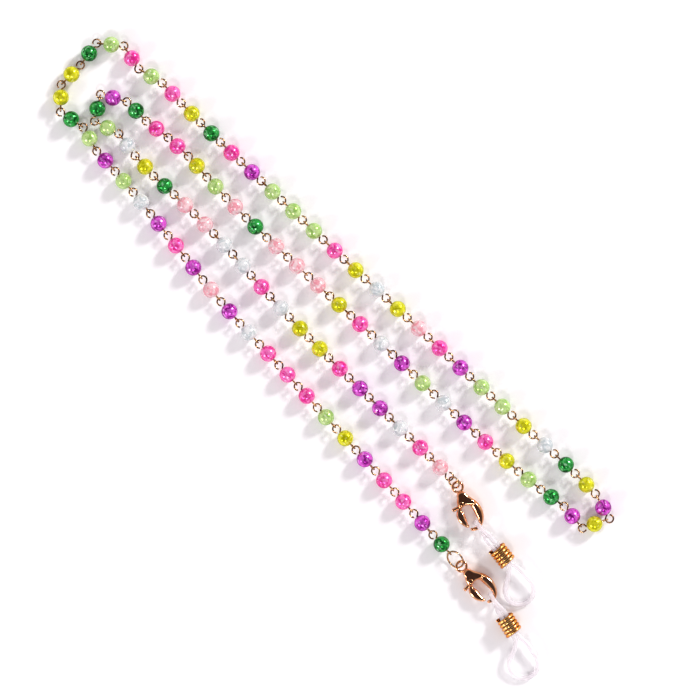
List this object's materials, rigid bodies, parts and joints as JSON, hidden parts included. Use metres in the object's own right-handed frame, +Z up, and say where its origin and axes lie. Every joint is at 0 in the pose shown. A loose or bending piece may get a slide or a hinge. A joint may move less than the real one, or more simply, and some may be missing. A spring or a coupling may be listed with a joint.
{
  "type": "beaded eyeglass chain",
  "caption": "Beaded chain that keeps eyeglasses round the neck, lying folded: round pearls on looped wire links, and at each end a lobster clasp, a clear elastic noose and a sliding coil.",
  "frame": {"origin": "centre of the bounding box at the level of the surface that the chain lies on", "axes": "+X along the folded strands towards the clasps, +Y across the strands, +Z up from the surface"},
  "size_m": [0.1908, 0.0488, 0.0044],
  "materials": {
    "pearl_lime": "pearl gloss",
    "pearl_white": "pearl gloss",
    "pearl_mint": "pearl gloss",
    "pearl_rose": "pearl gloss",
    "pearl_pink": "pearl gloss",
    "pearl_purple": "pearl gloss",
    "wire": "rose gold plate, polished",
    "pearl_green": "pearl gloss",
    "rose_gold": "rose gold plate, polished",
    "clear_elastic": "clear, glossy",
    "coil_gold": "gold plate, polished"
  },
  "bodies": {
    "strand_48_53": {"strand_48_53": "pearl_lime"},
    "strand_45_47": {"strand_45_47": "pearl_white"},
    "strand_42_44": {"strand_42_44": "pearl_mint"},
    "strand_39_41": {"strand_39_41": "pearl_rose"},
    "strand_36_38": {"strand_36_38": "pearl_lime"},
    "strand_33_35": {"strand_33_35": "pearl_mint"},
    "strand_30_32": {"strand_30_32": "pearl_pink"},
    "strand_27_29": {"strand_27_29": "pearl_pink"},
    "strand_21_26": {"strand_21_26": "pearl_lime"},
    "strand_18_20": {"strand_18_20": "pearl_purple"},
    "strand_15_17": {"strand_15_17": "pearl_purple"},
    "strand_12_14": {"strand_12_14": "pearl_rose"},
    "strand_09_11": {"strand_09_11": "pearl_pink"},
    "strand_06_08": {"strand_06_08": "pearl_mint"},
    "strand_03_05": {"strand_03_05": "pearl_pink"},
    "link_02": {"eye_pin_02": "wire"},
    "link_01": {"eye_pin_01": "wire"},
    "strand_54_56": {"strand_54_56": "pearl_pink"},
    "strand_57_59": {"strand_57_59": "pearl_mint"},
    "strand_60_62": {"strand_60_62": "pearl_pink"},
    "strand_63_65": {"strand_63_65": "pearl_rose"},
    "strand_66_68": {"strand_66_68": "pearl_rose"},
    "strand_69_71": {"strand_69_71": "pearl_pink"},
    "strand_72_75": {"strand_72_75": "pearl_purple"},
    "strand_76_78": {"strand_76_78": "pearl_lime"},
    "strand_79_81": {"strand_79_81": "pearl_rose"},
    "strand_82_84": {"strand_82_84": "pearl_pink"},
    "strand_85_87": {"strand_85_87": "pearl_lime"},
    "strand_88_90": {"strand_88_90": "pearl_purple"},
    "link_91": {"eye_pin_91": "wire"},
    "link_92": {"eye_pin_92": "wire"},
    "pearl_01": {"pearl_01": "pearl_green"},
    "pearl_02": {"pearl_02": "pearl_purple"},
    "pearl_91": {"pearl_91": "pearl_pink"},
    "pearl_92": {"pearl_92": "pearl_rose"},
    "ring_a": {"jump_ring_a": "wire"},
    "clasp_a": {"clasp_body_a": "rose_gold", "clasp_rivet_a": "rose_gold"},
    "gate_a": {"clasp_gate_a": "rose_gold"},
    "grip_a": {"grip_loop_a": "clear_elastic"},
    "slider_a": {"grip_coil_a": "coil_gold"},
    "ring_b": {"jump_ring_b": "wire"},
    "clasp_b": {"clasp_body_b": "rose_gold", "clasp_rivet_b": "rose_gold"},
    "gate_b": {"clasp_gate_b": "rose_gold"},
    "grip_b": {"grip_loop_b": "clear_elastic"},
    "slider_b": {"grip_coil_b": "coil_gold"}
  },
  "joints": [
    {"name": "strand_45_47_lift", "type": "hinge", "parent": "strand_48_53", "child": "strand_45_47", "pos_m": [0.06762, 0.02252, 0.00205], "axis": [0, 1, 0], "range_deg": [0, 30]},
    {"name": "strand_42_44_lift", "type": "hinge", "parent": "strand_45_47", "child": "strand_42_44", "pos_m": [0.04616, 0.02166, 0.00205], "axis": [0, 1, 0], "range_deg": [0, 30]},
    {"name": "strand_39_41_lift", "type": "hinge", "parent": "strand_42_44", "child": "strand_39_41", "pos_m": [0.02469, 0.02083, 0.00205], "axis": [0, 1, 0], "range_deg": [0, 30]},
    {"name": "strand_36_38_lift", "type": "hinge", "parent": "strand_39_41", "child": "strand_36_38", "pos_m": [0.00322, 0.02015, 0.00205], "axis": [0, 1, 0], "range_deg": [0, 30]},
    {"name": "strand_33_35_lift", "type": "hinge", "parent": "strand_36_38", "child": "strand_33_35", "pos_m": [-0.01824, 0.01933, 0.00205], "axis": [0, 1, 0], "range_deg": [0, 30]},
    {"name": "strand_30_32_lift", "type": "hinge", "parent": "strand_33_35", "child": "strand_30_32", "pos_m": [-0.03959, 0.01877, 0.00205], "axis": [0, 1, 0], "range_deg": [0, 30]},
    {"name": "strand_27_29_lift", "type": "hinge", "parent": "strand_30_32", "child": "strand_27_29", "pos_m": [-0.06059, 0.01832, 0.00205], "axis": [0, 1, 0], "range_deg": [0, 30]},
    {"name": "strand_21_26_lift", "type": "hinge", "parent": "strand_27_29", "child": "strand_21_26", "pos_m": [-0.08105, 0.01714, 0.00205], "axis": [0, 1, 0], "range_deg": [0, 30]},
    {"name": "strand_18_20_lift", "type": "hinge", "parent": "strand_21_26", "child": "strand_18_20", "pos_m": [-0.08248, -0.00343, 0.00205], "axis": [0, -1, 0], "range_deg": [0, 30]},
    {"name": "strand_15_17_lift", "type": "hinge", "parent": "strand_18_20", "child": "strand_15_17", "pos_m": [-0.0622, -0.00581, 0.00205], "axis": [0, -1, 0], "range_deg": [0, 30]},
    {"name": "strand_12_14_lift", "type": "hinge", "parent": "strand_15_17", "child": "strand_12_14", "pos_m": [-0.04139, -0.00807, 0.00205], "axis": [0, -1, 0], "range_deg": [0, 30]},
    {"name": "strand_09_11_lift", "type": "hinge", "parent": "strand_12_14", "child": "strand_09_11", "pos_m": [-0.02015, -0.01011, 0.00205], "axis": [0, -1, 0], "range_deg": [0, 30]},
    {"name": "strand_06_08_lift", "type": "hinge", "parent": "strand_09_11", "child": "strand_06_08", "pos_m": [0.00131, -0.011, 0.00205], "axis": [0, -1, 0], "range_deg": [0, 30]},
    {"name": "strand_03_05_lift", "type": "hinge", "parent": "strand_06_08", "child": "strand_03_05", "pos_m": [0.02276, -0.012, 0.00205], "axis": [0, -1, 0], "range_deg": [0, 30]},
    {"name": "link_02_lift", "type": "hinge", "parent": "strand_03_05", "child": "link_02", "pos_m": [0.04422, -0.01301, 0.00205], "axis": [0, -1, 0], "range_deg": [0, 30]},
    {"name": "link_01_lift", "type": "hinge", "parent": "link_02", "child": "link_01", "pos_m": [0.05137, -0.0134, 0.00205], "axis": [0, -1, 0], "range_deg": [0, 30]},
    {"name": "strand_54_56_lift", "type": "hinge", "parent": "strand_48_53", "child": "strand_54_56", "pos_m": [0.05531, 0.01281, 0.00205], "axis": [0, 1, 0], "range_deg": [0, 30]},
    {"name": "strand_57_59_lift", "type": "hinge", "parent": "strand_54_56", "child": "strand_57_59", "pos_m": [0.03386, 0.01176, 0.00205], "axis": [0, 1, 0], "range_deg": [0, 30]},
    {"name": "strand_60_62_lift", "type": "hinge", "parent": "strand_57_59", "child": "strand_60_62", "pos_m": [0.01239, 0.01126, 0.00205], "axis": [0, 1, 0], "range_deg": [0, 30]},
    {"name": "strand_63_65_lift", "type": "hinge", "parent": "strand_60_62", "child": "strand_63_65", "pos_m": [-0.00908, 0.01046, 0.00205], "axis": [0, 1, 0], "range_deg": [0, 30]},
    {"name": "strand_66_68_lift", "type": "hinge", "parent": "strand_63_65", "child": "strand_66_68", "pos_m": [-0.03055, 0.00972, 0.00205], "axis": [0, 1, 0], "range_deg": [0, 30]},
    {"name": "strand_69_71_lift", "type": "hinge", "parent": "strand_66_68", "child": "strand_69_71", "pos_m": [-0.05183, 0.00986, 0.00205], "axis": [0, 1, 0], "range_deg": [0, 30]},
    {"name": "strand_72_75_lift", "type": "hinge", "parent": "strand_69_71", "child": "strand_72_75", "pos_m": [-0.07246, 0.00901, 0.00205], "axis": [0, 1, 0], "range_deg": [0, 30]},
    {"name": "strand_76_78_lift", "type": "hinge", "parent": "strand_72_75", "child": "strand_76_78", "pos_m": [-0.0731, 0.00178, 0.00205], "axis": [0, -1, 0], "range_deg": [0, 30]},
    {"name": "strand_79_81_lift", "type": "hinge", "parent": "strand_76_78", "child": "strand_79_81", "pos_m": [-0.05257, 0.00097, 0.00205], "axis": [0, -1, 0], "range_deg": [0, 30]},
    {"name": "strand_82_84_lift", "type": "hinge", "parent": "strand_79_81", "child": "strand_82_84", "pos_m": [-0.03168, 0.00069, 0.00205], "axis": [0, -1, 0], "range_deg": [0, 30]},
    {"name": "strand_85_87_lift", "type": "hinge", "parent": "strand_82_84", "child": "strand_85_87", "pos_m": [-0.01054, -0.0004, 0.00205], "axis": [0, -1, 0], "range_deg": [0, 30]},
    {"name": "strand_88_90_lift", "type": "hinge", "parent": "strand_85_87", "child": "strand_88_90", "pos_m": [0.01069, -0.00052, 0.00205], "axis": [0, -1, 0], "range_deg": [0, 30]},
    {"name": "link_91_lift", "type": "hinge", "parent": "strand_88_90", "child": "link_91", "pos_m": [0.03184, -0.00034, 0.00205], "axis": [0, -1, 0], "range_deg": [0, 30]},
    {"name": "link_92_lift", "type": "hinge", "parent": "link_91", "child": "link_92", "pos_m": [0.03888, -0.00028, 0.00205], "axis": [0, -1, 0], "range_deg": [0, 30]},
    {"name": "pearl_01_spin", "type": "hinge", "parent": "link_01", "child": "pearl_01", "pos_m": [0.05553, -0.01359, 0.00205], "axis": [-0.999, 0.0436, 0], "continuous": true},
    {"name": "pearl_02_spin", "type": "hinge", "parent": "link_02", "child": "pearl_02", "pos_m": [0.04838, -0.01324, 0.00205], "axis": [-0.9986, 0.0523, 0], "continuous": true},
    {"name": "pearl_91_spin", "type": "hinge", "parent": "link_91", "child": "pearl_91", "pos_m": [0.03471, -0.00031, 0.00205], "axis": [1, 0.0087, 0], "continuous": true},
    {"name": "pearl_92_spin", "type": "hinge", "parent": "link_92", "child": "pearl_92", "pos_m": [0.04174, -0.00025, 0.00205], "axis": [1, 0.0087, 0], "continuous": true},
    {"name": "ring_a_swing", "type": "hinge", "parent": "link_01", "child": "ring_a", "pos_m": [0.05836, -0.01371, 0.00205], "axis": [-0.061, -0.9981, 0], "range_deg": [0, 28]},
    {"name": "clasp_a_lift", "type": "hinge", "parent": "ring_a", "child": "clasp_a", "pos_m": [0.06295, -0.01399, 0.00205], "axis": [-0.0349, -0.9994, 0], "range_deg": [0, 20]},
    {"name": "gate_a_open", "type": "hinge", "parent": "clasp_a", "child": "gate_a", "pos_m": [0.06722, -0.01504, 0.00205], "axis": [0, 0, 1], "range_deg": [0, 9], "stiffness_Nm_per_rad": 0.001},
    {"name": "grip_a_lift", "type": "hinge", "parent": "clasp_a", "child": "grip_a", "pos_m": [0.07422, -0.01413, 0.0021], "axis": [-0.225, -0.9744, 0], "range_deg": [0, 35]},
    {"name": "slider_a_slide", "type": "slide", "parent": "grip_a", "child": "slider_a", "axis": [0.9744, -0.225, 0], "range_m": [-0.002, 0.0008]},
    {"name": "ring_b_swing", "type": "hinge", "parent": "link_92", "child": "ring_b", "pos_m": [0.04531, -0.00022, 0.00205], "axis": [-0.1392, -0.9903, 0], "range_deg": [0, 20]},
    {"name": "clasp_b_lift", "type": "hinge", "parent": "ring_b", "child": "clasp_b", "pos_m": [0.04828, -0.00064, 0.00205], "axis": [-0.3584, -0.9336, 0], "range_deg": [0, 20]},
    {"name": "gate_b_open", "type": "hinge", "parent": "clasp_b", "child": "gate_b", "pos_m": [0.05197, -0.00302, 0.00205], "axis": [0, 0, 1], "range_deg": [0, 11], "stiffness_Nm_per_rad": 0.001},
    {"name": "grip_b_lift", "type": "hinge", "parent": "clasp_b", "child": "grip_b", "pos_m": [0.05901, -0.00377, 0.0021], "axis": [-0.1132, -0.9936, 0], "range_deg": [0, 35]},
    {"name": "slider_b_slide", "type": "slide", "parent": "grip_b", "child": "slider_b", "axis": [0.9936, -0.1132, 0], "range_m": [-0.002, 0.0008]}
  ]
}
